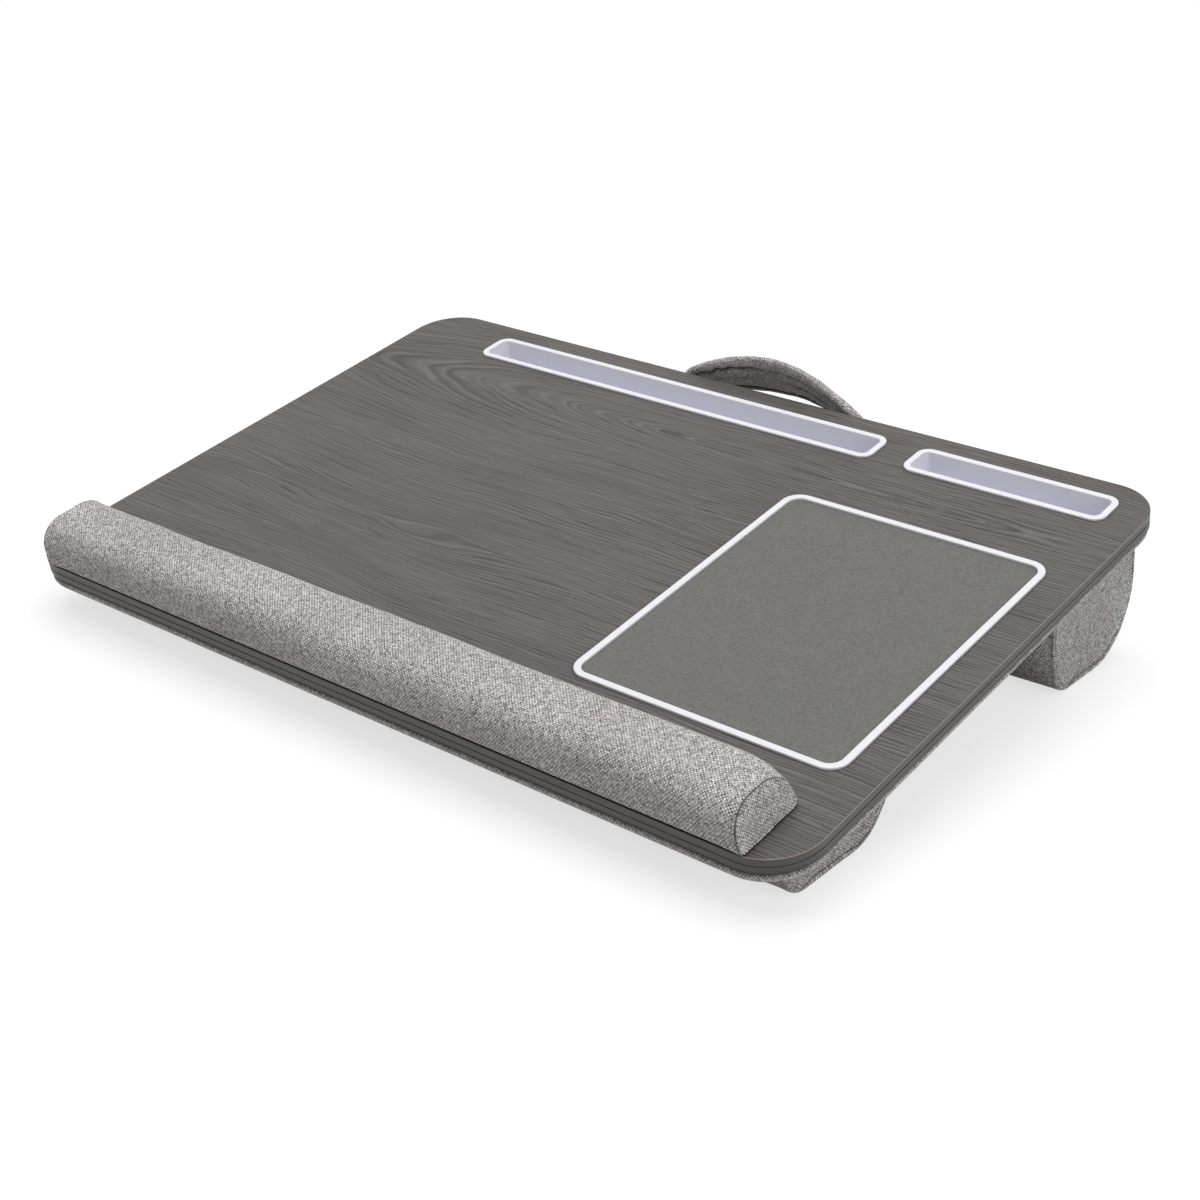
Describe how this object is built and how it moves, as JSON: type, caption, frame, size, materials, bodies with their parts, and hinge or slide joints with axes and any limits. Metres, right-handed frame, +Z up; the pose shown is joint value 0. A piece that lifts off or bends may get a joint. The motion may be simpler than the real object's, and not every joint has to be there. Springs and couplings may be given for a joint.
{
  "type": "cushioned lap desk",
  "caption": "Cushioned lap desk: wood grain board with padded wrist rest, framed mouse pad, device slot and pen slot, on sloped fabric cushions with a rear carry handle.",
  "frame": {"origin": "On the floor that both cushions stand on, at the middle of the overall box.", "axes": "+X along the board to the user's right, +Y away from the user towards the carry handle, +Z up; the board slopes down towards the user."},
  "size_m": [0.55, 0.4064, 0.1159],
  "materials": {
    "wood_core": "raw fibreboard",
    "wood_grain": "dark grey printed wood grain with a fine embossed relief, satin",
    "dark_edge": "dark grey brown edge band, satin",
    "white_plastic": "moulded, glossy",
    "pad_leather": "grey green coated leather with a fine pebble grain",
    "grey_fabric": "light grey melange weave",
    "foam": "open cell foam",
    "filling": "loose soft filling",
    "stiff_board": "thin hardboard",
    "tape": "double sided adhesive tape",
    "staple_steel": "bright wire"
  },
  "bodies": {
    "desk": {"desk_board": "wood_core", "wood_laminate": "wood_grain", "backing_sheet": "dark_edge", "edge_band": "dark_edge", "device_slot_tray": "white_plastic", "pen_slot_tray": "white_plastic", "mouse_pad_frame": "white_plastic", "mouse_pad_leather": "pad_leather", "mouse_pad_foam": "foam", "wrist_rest_cover": "grey_fabric", "wrist_rest_end_left": "grey_fabric", "wrist_rest_end_right": "grey_fabric", "wrist_rest_foam": "foam", "wrist_rest_strip": "stiff_board", "wrist_rest_tape": "tape", "base_cover": "grey_fabric", "base_foam": "foam", "base_board": "stiff_board", "base_tape": "tape", "base_staples": "staple_steel", "front_cushion_cover": "grey_fabric", "front_cushion_end_left": "grey_fabric", "front_cushion_end_right": "grey_fabric", "front_cushion_filling": "filling", "rear_cushion_cover": "grey_fabric", "rear_cushion_end_left": "grey_fabric", "rear_cushion_end_right": "grey_fabric", "rear_cushion_filling": "filling", "handle_tab_left": "grey_fabric", "handle_tab_right": "grey_fabric"},
    "handle": {"handle_cover": "grey_fabric", "handle_padding": "foam"}
  },
  "joints": [
    {"name": "handle_swing", "type": "hinge", "parent": "desk", "child": "handle", "pos_m": [0, 0.1791, 0.08665], "axis": [1, 0, 0], "range_deg": [-120, 12]}
  ]
}
